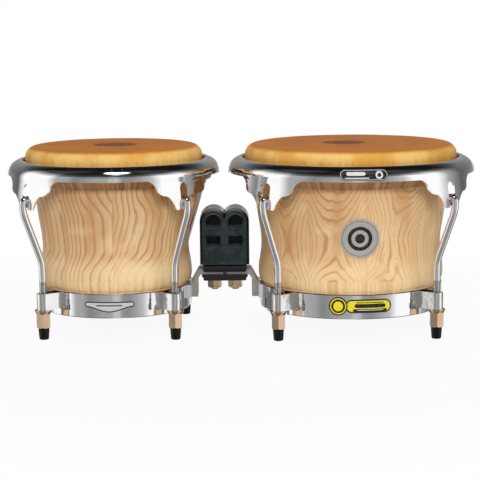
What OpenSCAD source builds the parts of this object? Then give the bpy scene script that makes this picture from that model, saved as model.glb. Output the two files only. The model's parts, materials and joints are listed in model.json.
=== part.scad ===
// Pair of bongo drums on a floating centre block, built as separate pieces.
// Millimetres. X runs from the small drum (macho) to the large one (hembra),
// Y points to the back, Z is up, and the feet stand on z = 0.

/* [Drums] */
// Distance between the two drum axes
drum_spacing = 239.9; // [232:0.1:270]
// Lug azimuth on the small drum, from the front towards +X, degrees
small_lug_az = 42.5; // [36:0.1:52]
// Lug azimuth on the large drum, from the front towards +X, degrees
large_lug_az = 46.2; // [36:0.1:52]
// Outside radius of the small skin (7 inch head)
small_head_r = 89.5; // [86:0.1:93]
// Outside radius of the large skin (8.5 inch head)
large_head_r = 107; // [103:0.1:110]
// Narrowest outside radius of the small shell
small_waist_r = 74.4; // [70:0.1:76]
// Narrowest outside radius of the large shell
large_waist_r = 91; // [86:0.1:93]
// Outside radius of the small bottom ring
small_ring_r = 76; // [74:0.1:80]
// Outside radius of the large bottom ring
large_ring_r = 93.3; // [91:0.1:97]

/* [Shell] */
// Height of the wooden shell, from the ring's ledge to the bearing edge
shell_h = 161.2; // [155:0.1:175]
// Wood wall thickness at the waist
shell_wall = 9.5; // [7:0.1:12]
// Wood wall thickness where it stands on the bottom ring
shell_foot_wall = 8.5; // [6:0.1:10]
// Radius of the rounded bearing edge under the skin
bearing_round = 9.5; // [6:0.1:11]
// Height of the belly's widest line above the bottom ring
belly_up = 11.9; // [9:0.1:16]
// How far the belly swells beyond the waist
belly_swell = 2.95; // [1:0.05:5]
// Height of the waist above the bottom ring
waist_up = 38.9; // [30:0.1:50]
// Height of the shoulder above the bottom ring
shoulder_up = 86.9; // [75:0.1:90]
// How far the shoulder swells beyond the waist
shoulder_swell = 5.05; // [2:0.05:7]
// Distance of the neck below the bearing edge
neck_down = 37.9; // [34:0.1:42]
// How far the neck lies beyond the waist
neck_swell = 3.2; // [1:0.05:5]
// Distance below the bearing edge at which the flare ends
flare_down = 20.4; // [16:0.1:24]

/* [Head] */
// Skin thickness
skin_t = 1.2; // [0.8:0.1:2]
// Length of the skin's side below the playing face
skin_side_h = 20.1; // [17:0.1:21]
// Radius of the round wire inside the skin's edge
hoop_r = 3; // [2.4:0.1:3.2]
// Thickness of the skin lapped round that wire
tuck_t = 0.9; // [0.6:0.1:1.2]
// Clearance between the skin's side and its lapped edge
tuck_clear = 0.3; // [0.2:0.05:0.6]

/* [Rim] */
// Gap between the skin's side and the rim's inner edge
rim_gap = 3.4; // [2.6:0.1:4.4]
// Width of the rim's rounded roll, inner edge to outermost
rim_roll_w = 14.6; // [13:0.1:18]
// Height of the rim's roll
rim_h = 14.2; // [12:0.1:17]
// Fullness of the roll, 2 is an ellipse
rim_power = 1.85; // [1.6:0.05:2.4]
// Distance of the rim's crest below the playing face
rim_drop = 13.1; // [10:0.1:15]
// Sheet thickness of the rim
rim_t = 2; // [1.6:0.1:2.4]

/* [Rim side plates] */
// Length of the side plates below the rim's lower edge
plate_h = 29.3; // [26:0.1:36]
// Sheet thickness of the side plates
plate_t = 2.2; // [1.6:0.1:2.6]
// How far the plates stand outside the rim at their foot
plate_flare = 2.4; // [1.6:0.1:4]
// Half width of a plate where it leaves the rim
plate_top_half_w = 44; // [40:0.5:52]
// Half width of a plate at its waist
plate_mid_half_w = 30.5; // [27:0.5:36]
// Height of that waist above the plate's tips
plate_mid_up = 21; // [19:0.1:23]
// Half width of a plate at its lower step
plate_step_half_w = 20.5; // [17:0.5:25]
// Height of that step above the plate's tips
plate_step_up = 14.2; // [12:0.1:17]
// Half width of a plate at its tips
plate_tip_half_w = 10.5; // [9.5:0.1:14]
// Side clearance of a rod in the slot it hooks into
slot_clear = 1.7; // [1:0.1:2.5]
// Length of the slot above the bar
slot_h = 19.6; // [16:0.1:20]
// Height of the bar the hook hangs on
crossbar_h = 3.6; // [2.6:0.1:4]
// Side clearance of a rod in the open window under the bar
window_clear = 3.5; // [2:0.1:4]

/* [Tuning rods] */
// Rod radius
rod_r = 3.5; // [3:0.05:3.6]
// Distance from the bottom ring's face to a rod's lower axis
rod_standoff = 16.6; // [13:0.1:20]
// Slope of the rod's slanted stretch, degrees
rod_slope = 22; // [19:0.5:28]
// Centre-line radius of the two gentle bends
rod_bend_r = 35; // [26:0.5:42]
// Radial clearance between the hook's inside and the plate's faces
hook_clear = 0.3; // [0.2:0.05:0.6]
// Height of the hook's bend centre above the plate's tips
hook_up = 5.1; // [4:0.1:7]
// Length of the hook's straight tip
hook_tip = 5.5; // [3:0.1:8]

/* [Lug nuts and feet] */
// Height of the rubber feet
foot_h = 12; // [10:0.1:16]
// Radius of a foot under the nut
foot_top_r = 5.4; // [5:0.1:6]
// Radius of a foot just above its rounded sole
foot_low_r = 4.8; // [4:0.1:5.4]
// Rounding of the foot's sole
foot_round = 1.4; // [0.8:0.1:2]
// Across the flats of the hex nuts
nut_af = 13; // [12:0.1:15]
// Height of the hex nuts
nut_h = 14.5; // [12:0.1:18]
// Chamfer on the nuts' corners
nut_chamfer = 0.9; // [0.5:0.1:1.2]
// Radial clearance of the rod's thread in its nut
thread_clear = 0.05; // [0.02:0.01:0.09]
// How far the rims can be pulled down from here
tune_down = 3; // [2:0.1:4]
// Washer outside radius
washer_r = 8.4; // [7.5:0.1:9.5]
// Washer thickness
washer_t = 3.3; // [2:0.1:4.5]
// Radial clearance of a rod in its washer
washer_clear = 0.4; // [0.3:0.05:0.8]

/* [Bottom rings and lug brackets] */
// Height of the bottom ring
ring_h = 24.3; // [22:0.1:28]
// Sheet thickness of the bottom ring
ring_t = 2.4; // [1.8:0.1:3]
// Width of the ledge the shell stands on
ring_ledge = 12; // [8:0.1:14]
// Chamfer on the ring's edges
ring_chamfer = 0.8; // [0.4:0.1:1]
// Clearance between the shell's foot and the ring's wall
ring_fit = 0.2; // [0.1:0.05:0.5]
// Distance of the brackets' lower edge above the ring's
bracket_up = 7; // [5:0.1:7.6]
// Height of the lug brackets
bracket_h = 16.4; // [14:0.1:17]
// Strap thickness of the lug brackets
bracket_t = 2.2; // [1.8:0.1:2.6]
// Clearance round the rod inside a bracket
bracket_clear = 0.6; // [0.4:0.05:1]
// How much further apart a bracket's walls stand at the ring
bracket_spread = 2.5; // [1:0.1:4]
// Length of each welded ear along the ring
bracket_ear = 8.2; // [6:0.1:11]

/* [Centre block] */
// Depth of the block, front to back
block_d = 38; // [36.5:0.5:50]
// Radius of the block's two round shoulders
block_arch_r = 13.9; // [13:0.1:15]
// Distance between the two shoulders' centres
block_arch_gap = 22.2; // [20:0.1:24]
// Height of the block up to the shoulders' centres
block_side_h = 43.7; // [40:0.1:52]
// Chamfer round the block's front and back faces
block_chamfer = 2.6; // [1:0.1:3.2]
// Depth of the groove where the block's front and back halves meet
block_groove = 0.7; // [0.3:0.1:1.2]
// Radius of the round pockets
pocket_r = 7.45; // [6:0.05:8]
// Width of the raised lips round the pockets
pocket_lip = 1.5; // [0.6:0.1:1.8]
// Width of the square pockets
window_w = 14.3; // [11:0.1:15]
// Height of the square pockets
window_h = 12.4; // [11:0.1:13]
// Height of the square pockets above the block's underside
window_up = 17.5; // [16.3:0.1:18]
// Wall left behind the round and square pockets
pocket_back_wall = 5; // [3:0.5:20]
// Height of the sunk panel below them
panel_h = 12.6; // [10:0.1:12.8]
// Depth of that panel
panel_depth = 1.1; // [0.4:0.1:1.5]

/* [Straps and clamp] */
// Height of the straps, foot of the legs to their top
strap_h = 28; // [26:0.1:32]
// Thickness of the straps' legs
strap_t = 6.6; // [5.5:0.1:8]
// Thickness of the straps' level arms
strap_arm_t = 5; // [4:0.1:6]
// Width of the straps, front to back
strap_w = 28; // [22:0.5:28.5]
// Width of the slanted shoulder outside the straps' bend
strap_shoulder = 7.2; // [4:0.1:9]
// Slope of that shoulder, degrees
strap_shoulder_slope = 61; // [50:1:68]
// Gap between the two straps' ends under the block
strap_gap = 3.4; // [1:0.1:4]
// How far the pads stand out of the bottom rings
pad_t = 1.2; // [1:0.1:2]
// Half depth of the pads, front to back
pad_half_w = 23; // [18:0.5:26]
// Height of the pads
pad_h = 13.7; // [11:0.1:14]
// Distance of the pads' lower edge above the ring's
pad_up = 9.7; // [8:0.1:10.4]
// Thickness of the saddle between straps and block
saddle_t = 5.5; // [4:0.1:7]
// Clearance between the clamp plate's ends and the straps' legs
clamp_clear = 4.2; // [1:0.1:6]
// Clearance between the clamp plate's flat and the straps' bends
clamp_fit = 0.3; // [0.1:0.05:1]
// Thickness of the clamp plate under the straps
clamp_t = 6; // [4:0.1:7]
// Thickness of the saddle's and the clamp plate's front and back lips
lip_t = 3.7; // [2:0.1:4.2]
// Clearance between the straps' edges and those lips
lip_clear = 0.3; // [0.1:0.05:0.6]
// Radius of the two clamp bolts
bolt_r = 4; // [3.4:0.1:4.2]
// Distance between the two clamp bolts
bolt_gap = 20.9; // [19:0.1:24]
// Clearance round a bolt in the straps and plates
bolt_clear = 0.3; // [0.2:0.05:0.5]
// Clearance of a bolt in the block's tapped hole
tap_clear = 0.05; // [0.02:0.01:0.09]
// Length of thread in the block
bolt_thread = 13.5; // [10:0.1:14.5]
// Across the flats of the bolt heads
bolt_af = 13.4; // [11:0.1:14]
// Height of the bolts' hexes
bolt_head_h = 7.4; // [4:0.1:8]
// Length of the bolts' ends below their hexes
bolt_tail = 2.1; // [0.8:0.1:4]
// Thickness of the bolt washers
bolt_washer_t = 2; // [1:0.1:2.4]
// Outside radius of the bolt washers
bolt_washer_r = 8; // [7.4:0.1:9]

/* [Badge] */
// Radius of the round shell badge
badge_r = 19.6; // [12:0.1:24]
// Thickness of the badge
badge_t = 0.8; // [0.5:0.1:1.4]
// Height of the badge's centre above the waist
badge_up = 16.2; // [0:0.1:24]
// Turn of the badge from the front towards +X, degrees
badge_az = 1.8; // [-6:0.1:6]

/* [Hidden] */
$fn = 96;

// Each list holds the small drum's value, then the large drum's.
head_r = [small_head_r, large_head_r];
waist_r = [small_waist_r, large_waist_r];
ring_r = [small_ring_r, large_ring_r];
lug_az = [small_lug_az, large_lug_az];
shell_r = [for (r = head_r) r - skin_t];
rim_r = [for (r = head_r) r + rim_gap + rim_roll_w];
rod_low_r = [for (r = ring_r) r + rod_standoff];
// The origin lies midway between the outermost points of the two rims.
drum_x = [rim_r[0] - rim_r[1] - drum_spacing, rim_r[0] - rim_r[1] + drum_spacing] / 2;

// Heights, from the floor up.
nut_top_z = foot_h + nut_h;
bracket_low_z = nut_top_z + washer_t;
ring_low_z = bracket_low_z - bracket_up;
ring_top_z = ring_low_z + ring_h;
ledge_z = ring_low_z + ring_t;
shell_top_z = ledge_z + shell_h;
skin_top_z = shell_top_z + skin_t;
skin_low_z = skin_top_z - skin_side_h;
rim_crest_z = skin_top_z - rim_drop;
rim_low_z = rim_crest_z - rim_h;
plate_low_z = rim_low_z - plate_h;
waist_z = ring_top_z + waist_up;
neck_z = shell_top_z - neck_down;
flare_z = shell_top_z - flare_down;

// The rod passes outside the plate; the hook's bend is centred on the plate's sheet.
hook_bend_r = rod_r + plate_t / 2 + hook_clear;
hook_z = plate_low_z + hook_up;
rod_top_r = [for (r = rim_r) r + plate_flare - plate_t / 2 + hook_bend_r];
rod_shift = [for (d = [0, 1]) rod_top_r[d] - rod_low_r[d]];
rod_end_z = foot_h + tune_down + 0.5;
crossbar_top_z = hook_z + sqrt(pow(hook_bend_r - rod_r, 2) - pow(plate_t / 2, 2)) - 0.02;
crossbar_low_z = crossbar_top_z - crossbar_h;

skin_round = bearing_round + skin_t;
skin_bend_z = skin_top_z - skin_round;
tuck_r = hoop_r + tuck_t;
hoop_z = rim_crest_z - rim_t - 0.2 - tuck_r;
hoop_path_r = [for (r = head_r) r + tuck_clear + tuck_r];

// The straps' legs stand on the pads, out far enough for their shoulders to pass the belly.
strap_r = [for (d = [0, 1]) max(ring_r[d] + pad_t, waist_r[d] + belly_swell - strap_shoulder / 2)];
centre_x = (drum_x[0] + strap_r[0] + drum_x[1] - strap_r[1]) / 2;
strap_span = (drum_x[1] - strap_r[1] - drum_x[0] - strap_r[0]) / 2;
strap_low_z = ring_low_z + pad_up;
strap_top_z = strap_low_z + strap_h;
strap_bar_z = strap_top_z - strap_arm_t;
clamp_low_z = strap_bar_z - clamp_t;
block_low_z = strap_top_z + saddle_t;
block_arch_z = block_low_z + block_side_h;
block_half_w = block_arch_gap / 2 + block_arch_r;
bolt_xs = [-bolt_gap / 2, bolt_gap / 2];
// The straps' inner bend starts here, on the arm and on the leg.
strap_flat = strap_span - strap_t - 4.6;
strap_leg_top_z = strap_bar_z - 5;
lip_in = strap_w / 2 + lip_clear;
lip_out = lip_in + lip_t;

// Quarter of a superellipse about (cx, cy), from its side at a = 0 to its top at a = 90.
function quarter(cx, cy, rx, ry, power, from, to, n) = [
  for (i = [0 : n])
    let (a = from + (to - from) * i / n)
      [cx + rx * pow(cos(a), 2 / power), cy + ry * pow(sin(a), 2 / power)]
];

function arc(cx, cy, r, from, to, n) =
  [for (i = [0 : n]) let (a = from + (to - from) * i / n) [cx + r * cos(a), cy + r * sin(a)]];

// Soft S between two points of a profile, level with the axis at both ends.
function ease(p, q, n) = [
  for (i = [0 : n - 1])
    let (t = i / n) [p[0] + (q[0] - p[0]) * (1 - cos(180 * t)) / 2, p[1] + (q[1] - p[1]) * t]
];

function shell_foot_r(d) = ring_r[d] - ring_t - ring_fit;

// Outside of the shell from the bottom ring up to the end of the flare.
function shell_outside(d) =
  let (
    w = waist_r[d],
    foot = shell_foot_r(d),
    belly = [w + belly_swell, ring_top_z + belly_up],
    roll = quarter(foot, belly[1], belly[0] - foot, 1.2 - belly_up, 2, 80, 8, 6),
    waist = [w, waist_z],
    shoulder = [w + shoulder_swell, ring_top_z + shoulder_up],
    neck = [w + neck_swell, neck_z],
    flare = [shell_r[d], flare_z]
  )
  concat(
    roll, ease(belly, waist, 6), ease(waist, shoulder, 9), ease(shoulder, neck, 4),
    ease(neck, flare, 7), [flare]
  );

// Rim profile as [distance inside the outermost radius, depth below the crest].
rim_curl = 2;
rim_curve = concat(
  [for (a = [0, 45]) [rim_roll_w - rim_curl * (1 - cos(a)), 0.5 * (1 - sin(a))]],
  [
    for (p = quarter(0, 0, rim_roll_w - rim_curl, rim_h - 1, rim_power, 90, 0, 13))
      [rim_roll_w - rim_curl - p[0], rim_h - 1 - p[1]]
  ]
);

function rim_outside(d) = [for (p = rim_curve) [rim_r[d] - p[0], rim_crest_z - p[1]]];

function rim_normal(i) =
  let (
    a = rim_curve[max(i - 1, 0)],
    b = rim_curve[min(i + 1, len(rim_curve) - 1)],
    dx = a[0] - b[0],
    dz = a[1] - b[1],
    l = norm([dx, dz])
  ) [dz / l, dx / l];

function rim_inside(d) = [
  for (i = [len(rim_curve) - 1 : -1 : 0])
    let (n = rim_normal(i))
      [rim_r[d] - rim_curve[i][0] + n[0] * rim_t, rim_crest_z - rim_curve[i][1] - n[1] * rim_t]
];

// Right half of a side plate's outline as [arc length from its middle, height].
plate_side = concat(
  [[plate_top_half_w + 3, rim_low_z + 4.4]],
  [
    for (p = quarter(0, 0, plate_top_half_w - plate_mid_half_w, plate_h - plate_mid_up + 1.2, 1.8, 90, 0, 6))
      [plate_top_half_w - p[0], plate_low_z + plate_mid_up + p[1]]
  ],
  [
    for (p = quarter(0, 0, plate_mid_half_w - plate_step_half_w, plate_mid_up - plate_step_up, 2, 15, 90, 5))
      [plate_step_half_w + p[0], plate_low_z + plate_mid_up - p[1]]
  ],
  [
    for (p = quarter(0, 0, plate_step_half_w - plate_tip_half_w, plate_step_up - 0.8, 1.3, 78, 0, 7))
      [plate_step_half_w - p[0], plate_low_z + 0.8 + p[1]]
  ],
  [[plate_tip_half_w - 0.6, plate_low_z + 0.2], [plate_tip_half_w - 1.6, plate_low_z]]
);

module at_drum(d) {
  translate([drum_x[d], 0, 0])
    children();
}

// Local X points outwards from the drum's axis through lug i.
module at_lug(d, i) {
  at_drum(d)
    rotate([0, 0, lug_az[d] - 90 + 90 * i])
      children();
}

module shell(d) {
  foot_r = shell_foot_r(d);
  foot_in = foot_r - shell_foot_wall;
  inner = waist_r[d] - shell_wall;
  edge = shell_r[d] - bearing_round;
  color([0.86, 0.7, 0.48])
    at_drum(d)
      rotate_extrude()
        polygon(concat(
          [[foot_in, ring_top_z], [foot_in, ledge_z], [foot_r, ledge_z], [foot_r, ring_top_z + 1.1]],
          shell_outside(d),
          arc(edge, shell_top_z - bearing_round, bearing_round, 0, 90, 8),
          [[edge - 0.6, shell_top_z - 0.6], [edge - 0.6, flare_z], [inner, neck_z - 8.5], [inner, waist_z]]
        ));
}

// The playing face, wrapped over the rounded bearing edge.
module head(d) {
  flat_r = head_r[d] - skin_round;
  color([0.75, 0.5, 0.25])
    at_drum(d)
      rotate_extrude()
        polygon(concat(
          [[0, shell_top_z], [0, skin_top_z]],
          arc(flat_r, skin_bend_z, skin_round, 90, 0, 8),
          arc(flat_r, skin_bend_z, bearing_round, 0, 90, 8)
        ));
}

// The skin's straight side, stretched when the rim is pulled down.
module skin_side(d) {
  color([0.85, 0.66, 0.35])
    at_drum(d)
      translate([0, 0, skin_low_z])
        difference() {
          cylinder(r = head_r[d], h = skin_bend_z - skin_low_z);
          translate([0, 0, -1])
            cylinder(r = shell_r[d], h = skin_bend_z - skin_low_z + 2);
        }
}

module bottom_ring(d) {
  r = ring_r[d];
  c = ring_chamfer;
  color([0.8, 0.8, 0.82])
    at_drum(d)
      rotate_extrude()
        polygon([
          [r - ring_ledge, ring_low_z], [r - c, ring_low_z], [r, ring_low_z + c],
          [r, ring_top_z - c], [r - c, ring_top_z], [r - ring_t, ring_top_z],
          [r - ring_t, ledge_z], [r - ring_ledge, ledge_z]
        ]);
}

// The bracket's outline hugs the rod and opens towards the ring.
module bracket_solid(d, grow, over) {
  hull_r = rod_r + bracket_clear + grow;
  h = bracket_h + 2 * over;
  translate([0, 0, -over]) {
    translate([rod_low_r[d], 0, 0])
      cylinder(r = hull_r, h = h);
    linear_extrude(height = h)
      polygon([
        [rod_low_r[d], hull_r], [ring_r[d] - 3, hull_r + bracket_spread],
        [ring_r[d] - 3, -hull_r - bracket_spread], [rod_low_r[d], -hull_r]
      ]);
  }
}

module bracket(d, i) {
  half_w = rod_r + bracket_clear + bracket_t + bracket_spread + bracket_ear;
  at_lug(d, i)
    translate([0, 0, bracket_low_z])
      difference() {
        union() {
          bracket_solid(d, bracket_t, 0);
          intersection() {
            cylinder(r = ring_r[d] + bracket_t, h = bracket_h, $fn = 360);
            translate([ring_r[d] - 12, -half_w, 0])
              cube([30, 2 * half_w, bracket_h]);
          }
        }
        bracket_solid(d, 0, 1);
        translate([0, 0, -1])
          cylinder(r = ring_r[d], h = bracket_h + 2, $fn = 360);
      }
}

module brackets(d) {
  color([0.8, 0.8, 0.82])
    for (i = [0 : 3])
      bracket(d, i);
}

module washers(d) {
  edge = 0.36 * washer_t;
  color([0.82, 0.76, 0.66])
    for (i = [0 : 3])
      at_lug(d, i)
        translate([rod_low_r[d], 0, nut_top_z])
          difference() {
            union() {
              cylinder(r1 = washer_r - 1, r2 = washer_r, h = washer_t - edge);
              translate([0, 0, washer_t - edge])
                cylinder(r = washer_r, h = edge);
            }
            translate([0, 0, -1])
              cylinder(r = rod_r + washer_clear, h = washer_t + 2);
          }
}

module plate_outline(d) {
  r = rim_r[d] + plate_flare;
  side = [for (p = plate_side) [r * sin(p[0] / r * 180 / PI), p[1]]];
  polygon(concat(side, [for (k = [len(side) - 1 : -1 : 0]) [-side[k][0], side[k][1]]]));
}

// Slot above the bar, round at its top, and the open window under the bar.
module plate_cut() {
  w = rod_r + slot_clear;
  o = rod_r + window_clear;
  translate([0, crossbar_top_z + slot_h - w])
    circle(r = w);
  translate([-w, crossbar_top_z])
    square([2 * w, slot_h - w]);
  polygon([
    [-o, plate_low_z - 2], [o, plate_low_z - 2], [o, crossbar_low_z - 1.6],
    [o - 1.6, crossbar_low_z], [1.6 - o, crossbar_low_z], [-o, crossbar_low_z - 1.6]
  ]);
}

// Outside of the skirt the side plates are cut from, easing outwards below the roll.
function skirt_outside(d) =
  let (
    top = [rim_r[d], rim_low_z + 1],
    foot = [rim_r[d] + plate_flare, plate_low_z + plate_mid_up / 2]
  )
  concat([
    for (i = [1 : 6])
      let (t = i / 6)
        [top[0] + (foot[0] - top[0]) * t * t * (3 - 2 * t), top[1] + (foot[1] - top[1]) * t]
  ], [[foot[0], plate_low_z - 1]]);

// The roll runs all round; below it only the four plates are kept, each with its cut-outs.
module rim(d) {
  skirt = skirt_outside(d);
  color([0.8, 0.8, 0.82])
    intersection() {
      at_drum(d)
        rotate_extrude()
          polygon(concat(
            rim_outside(d), skirt,
            [for (k = [len(skirt) - 1 : -1 : 0]) skirt[k] - [plate_t, 0]],
            rim_inside(d)
          ));
      union() {
        at_drum(d)
          translate([0, 0, rim_low_z])
            cylinder(r = rim_r[d] + 5, h = rim_h + 2);
        for (i = [0 : 3])
          at_lug(d, i)
            translate([rim_r[d] - 25, 0, 0])
              rotate([90, 0, 90])
                linear_extrude(height = 40)
                  difference() {
                    plate_outline(d);
                    plate_cut();
                  }
      }
    }
}

module flesh_hoop(d) {
  color([0.6, 0.6, 0.62])
    at_drum(d)
      translate([0, 0, hoop_z])
        rotate_extrude()
          translate([hoop_path_r[d], 0])
            circle(r = hoop_r);
}

module skin_tuck(d) {
  color([0.75, 0.5, 0.25])
    at_drum(d)
      translate([0, 0, hoop_z])
        rotate_extrude()
          translate([hoop_path_r[d], 0])
            difference() {
              circle(r = tuck_r);
              circle(r = hoop_r);
            }
}

// Part of a ring in the XZ plane, from angle a0 over sweep degrees.
module bend(r, a0, sweep) {
  rotate([90, 0, 0])
    rotate([0, 0, a0])
      rotate_extrude(angle = sweep)
        translate([r, 0])
          circle(r = rod_r);
}

// Ball joint between two stretches of a rod, a hair larger than the rod.
module rod_knot(x, z) {
  translate([x, 0, z])
    sphere(r = rod_r + 0.05);
}

module rod(d, i) {
  s = rod_slope;
  b = rod_bend_r;
  g = 0.2;
  shift = rod_shift[d];
  run = shift - 2 * b * (1 - cos(s));
  top_z = hook_z - 2 * g;
  low_z = top_z - 2 * b * sin(s) - run / tan(s);
  color([0.8, 0.8, 0.82])
    at_lug(d, i)
      translate([rod_low_r[d], 0, 0])
        union() {
          translate([0, 0, rod_end_z])
            cylinder(r1 = rod_r - 0.8, r2 = rod_r, h = 0.8);
          translate([0, 0, rod_end_z + 0.8])
            cylinder(r = rod_r, h = low_z - g - rod_end_z - 0.8);
          rod_knot(0, low_z);
          translate([b, 0, low_z])
            bend(b, 180 - s, s);
          rod_knot(b * (1 - cos(s)), low_z + b * sin(s));
          translate([b * (1 - cos(s)), 0, low_z + b * sin(s)])
            rotate([0, s, 0])
              translate([0, 0, g])
                cylinder(r = rod_r, h = run / sin(s) - 2 * g);
          rod_knot(shift - b * (1 - cos(s)), top_z - b * sin(s));
          translate([shift - b, 0, top_z])
            bend(b, -s, s);
          rod_knot(shift, hook_z - g);
          translate([shift - hook_bend_r, 0, hook_z])
            bend(hook_bend_r, 0, 180);
          rod_knot(shift - 2 * hook_bend_r, hook_z);
          translate([shift - 2 * hook_bend_r, 0, hook_z - hook_tip + 0.8])
            cylinder(r = rod_r, h = hook_tip - 0.8 - g);
          translate([shift - 2 * hook_bend_r, 0, hook_z - hook_tip])
            cylinder(r1 = rod_r - 0.8, r2 = rod_r, h = 0.8);
        }
}

// One corner of the hex faces the front.
module nut(d, i) {
  corner_r = nut_af / 2 / cos(30);
  c = nut_chamfer;
  color([0.82, 0.76, 0.66])
    at_lug(d, i)
      translate([rod_low_r[d], 0, foot_h])
        difference() {
          intersection() {
            rotate([0, 0, -lug_az[d] - 90 * i])
              cylinder(r = corner_r, h = nut_h, $fn = 6);
            union() {
              cylinder(r1 = nut_af / 2 + 0.1, r2 = corner_r + 0.1, h = c);
              translate([0, 0, c])
                cylinder(r = corner_r + 0.1, h = nut_h - 2 * c);
              translate([0, 0, nut_h - c])
                cylinder(r1 = corner_r + 0.1, r2 = nut_af / 2 + 0.1, h = c);
            }
          }
          translate([0, 0, -1])
            cylinder(r = rod_r + thread_clear, h = nut_h + 2);
        }
}

module foot(d, i) {
  color([0.06, 0.06, 0.06])
    at_lug(d, i)
      translate([rod_low_r[d], 0, 0])
        rotate_extrude()
          polygon(concat(
            [[0, 0]],
            arc(foot_low_r - foot_round, foot_round, foot_round, -90, 0, 5),
            [[foot_top_r, foot_h - 2.5], [foot_top_r, foot_h], [0, foot_h]]
          ));
}

// Round shoulder of one half of the block; side is -1 in front and 1 behind.
module block_lobe(x, side) {
  half = block_d / 2;
  c = block_chamfer;
  g = block_groove;
  translate([x, 0, block_arch_z])
    rotate([side * -90, 0, 0]) {
      cylinder(r1 = block_arch_r - g, r2 = block_arch_r, h = g);
      translate([0, 0, g])
        cylinder(r = block_arch_r, h = half - c - g);
      translate([0, 0, half - c])
        cylinder(r1 = block_arch_r, r2 = block_arch_r - c, h = c);
    }
}

module centre_block() {
  w = block_half_w;
  h = block_d / 2;
  c = block_chamfer;
  g = block_groove;
  xs = [-block_arch_gap / 2, block_arch_gap / 2];
  depth = block_d - pocket_back_wall;
  color([0.1, 0.12, 0.14])
    translate([centre_x, 0, 0])
      difference() {
        union() {
          translate([0, 0, block_low_z])
            linear_extrude(height = block_side_h)
              polygon([
                [-w, c - h], [c - w, -h], [w - c, -h], [w, c - h], [w, -g], [w - g, 0], [w, g],
                [w, h - c], [w - c, h], [c - w, h], [-w, h - c], [-w, g], [g - w, 0], [-w, -g]
              ]);
          for (x = xs)
            for (side = [-1, 1])
              block_lobe(x, side);
          // raised lips round the pockets
          for (x = xs)
            translate([x, 0.2 - h, block_arch_z])
              rotate([90, 0, 0])
                cylinder(r1 = pocket_r + pocket_lip, r2 = pocket_r + pocket_lip - 0.5, h = 0.8);
        }
        for (x = xs) {
          translate([x, -h - 1, block_arch_z])
            rotate([-90, 0, 0])
              cylinder(r = pocket_r, h = depth + 1);
          // square pocket, its top cut round by the pocket's boss
          difference() {
            translate([x - window_w / 2, -h - 1, block_low_z + window_up])
              cube([window_w, depth + 1, window_h]);
            translate([x, 0, block_arch_z])
              rotate([90, 0, 0])
                cylinder(r = block_arch_r + 0.7, h = block_d + 4, center = true);
          }
        }
        // sunk panel under the pockets
        translate([3 - w, -h - 1, block_low_z + window_up - 2 - panel_h])
          cube([2 * w - 6, panel_depth + 1, panel_h]);
        // tapped holes for the clamp bolts
        for (x = bolt_xs)
          translate([x, 0, block_low_z - 1])
            cylinder(r = bolt_r + tap_clear, h = bolt_thread + 1.6);
      }
}

// The block stands on the saddle, whose bulging lips reach down over the straps' edges.
module block_saddle() {
  half = block_half_w - 3;
  low = strap_bar_z + 0.55 * strap_arm_t;
  top = block_low_z;
  h = top - low;
  bulge = quarter(lip_out - 1.6, low + 0.5 * h, 1.6, 0.5 * h - 0.5, 2, 0, 70, 5);
  n = len(bulge);
  lip = concat(
    [[lip_in, low], [lip_out - 1.2, low]],
    [for (k = [n - 1 : -1 : 0]) [bulge[k][0], 2 * low + h - bulge[k][1]]],
    [for (k = [1 : n - 1]) bulge[k]],
    [[lip_out - 1.4, top]]
  );
  color([0.05, 0.05, 0.05])
    translate([centre_x, 0, 0])
      difference() {
        intersection() {
          rotate([90, 0, 90])
            translate([0, 0, -half])
              linear_extrude(height = 2 * half)
                polygon(concat(
                  [[-lip_in, low], [-lip_in, strap_top_z], [lip_in, strap_top_z]],
                  lip,
                  [for (k = [len(lip) - 1 : -1 : 1]) [-lip[k][0], lip[k][1]]]
                ));
          rotate([90, 0, 0])
            translate([0, 0, -lip_out - 1])
              linear_extrude(height = 2 * lip_out + 2)
                polygon(concat(
                  arc(2.4 - half, low + 2.4, 2.4, 180, 270, 6), arc(half - 2.4, low + 2.4, 2.4, 270, 360, 6),
                  [[half, top - 0.8], [half + 0.6, top], [-half - 0.6, top], [-half, top - 0.8]]
                ));
        }
        for (x = bolt_xs)
          translate([x, 0, strap_top_z - 1])
            cylinder(r = bolt_r + bolt_clear, h = saddle_t + 2);
      }
}

// Under the straps the plate ends where their bends begin; its lips are a little longer.
module clamp_plate() {
  wide = strap_span - strap_t - clamp_clear;
  half = wide - 1.5;
  flat = strap_flat - clamp_fit;
  step_z = clamp_low_z + 0.58 * clamp_t;
  color([0.05, 0.05, 0.05])
    translate([centre_x, 0, 0])
      difference() {
        union() {
          translate([0, lip_out, 0])
            rotate([90, 0, 0])
              linear_extrude(height = 2 * lip_out)
                polygon(concat(
                  arc(1.4 - half, clamp_low_z + 1.4, 1.4, 180, 270, 4),
                  arc(half - 1.4, clamp_low_z + 1.4, 1.4, 270, 360, 4),
                  [[half, step_z], [flat, step_z], [flat, strap_bar_z], [-flat, strap_bar_z],
                    [-flat, step_z], [-half, step_z]]
                ));
          for (y = [-lip_in, lip_out])
            translate([0, y, 0])
              rotate([90, 0, 0])
                linear_extrude(height = lip_t)
                  polygon([
                    [0.4 - half, step_z - 1], [half - 0.4, step_z - 1], [wide, step_z + 0.6],
                    [wide, strap_bar_z - 0.2], [wide - 0.6, strap_bar_z + 0.4],
                    [0.6 - wide, strap_bar_z + 0.4], [-wide, strap_bar_z - 0.2], [-wide, step_z + 0.6]
                  ]);
        }
        for (x = bolt_xs)
          translate([x, 0, clamp_low_z - 1])
            cylinder(r = bolt_r + bolt_clear, h = clamp_t + 2);
      }
}

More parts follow.
